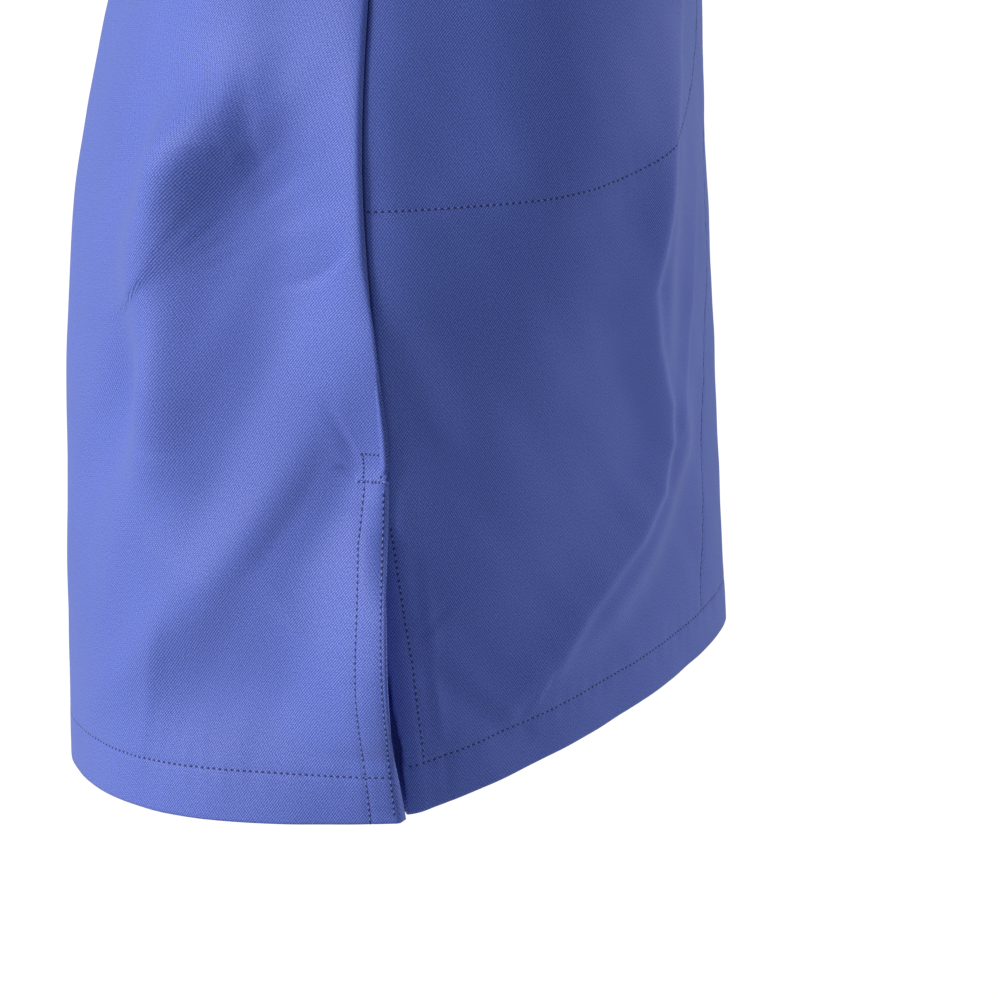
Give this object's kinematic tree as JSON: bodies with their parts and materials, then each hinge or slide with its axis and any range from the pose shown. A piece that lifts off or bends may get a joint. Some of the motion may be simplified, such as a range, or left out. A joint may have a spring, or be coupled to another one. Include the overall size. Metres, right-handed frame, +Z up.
{
  "type": "work tunic",
  "caption": "Short-sleeved hip-length work tunic in worn hollow form, with a lapped front, side vents and side-seam pocket bags.",
  "frame": {"origin": "midway between the two high shoulder points, where the wearer's neck and shoulders carry the tunic", "axes": "+Z up, -Y the wearer's front, -X the wearer's right"},
  "size_m": [0.7182, 0.298, 0.7509],
  "materials": {
    "twill": "matt twill weave",
    "pocketing": "matt plain weave"
  },
  "bodies": {
    "root": {"back": "twill", "front_right": "twill", "front_left": "twill", "sleeve_right": "twill", "sleeve_left": "twill", "pocket_bag_right": "pocketing", "pocket_bag_left": "pocketing"}
  },
  "joints": []
}
